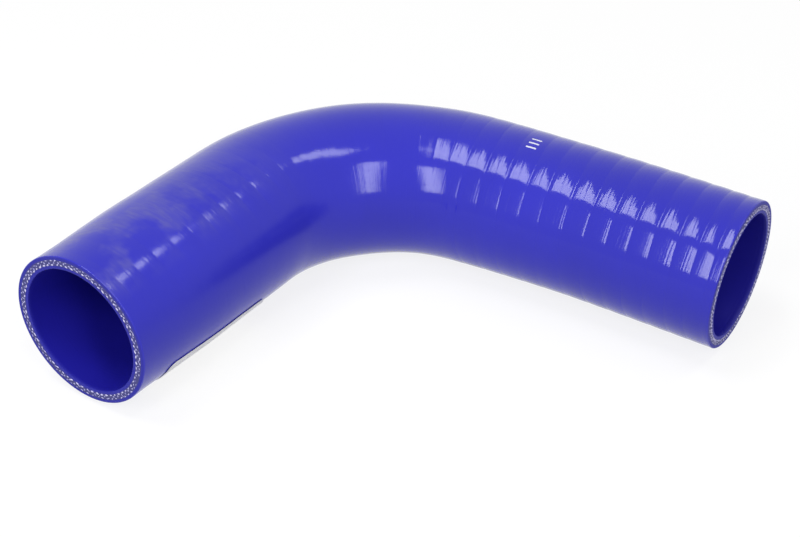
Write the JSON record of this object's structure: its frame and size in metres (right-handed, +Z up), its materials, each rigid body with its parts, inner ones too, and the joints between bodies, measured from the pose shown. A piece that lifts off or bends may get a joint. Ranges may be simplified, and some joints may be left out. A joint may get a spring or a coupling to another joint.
{
  "type": "radiator hose",
  "caption": "Right-angle elbow hose of glossy blue fabric-reinforced silicone with a tight bend, plain square-cut open ends and a blank paper label round one leg.",
  "frame": {"origin": "bottom centre of the bounding box, on the surface the hose lies on", "axes": "+X along the longer leg towards end B, -Y along the other leg towards end A, +Z up and square to the plane of the elbow"},
  "size_m": [0.2126, 0.2002, 0.0639],
  "materials": {
    "blue_silicone": "glossy, moulded under a spiral of curing tape",
    "label_paper": "blank matt paper",
    "polyester_yarn": "cut ends of white reinforcement yarn, stained by the rubber",
    "white_ink": "thin white printed strokes"
  },
  "bodies": {
    "root": {"hose": "blue_silicone", "paper_label": "label_paper"}
  },
  "joints": []
}
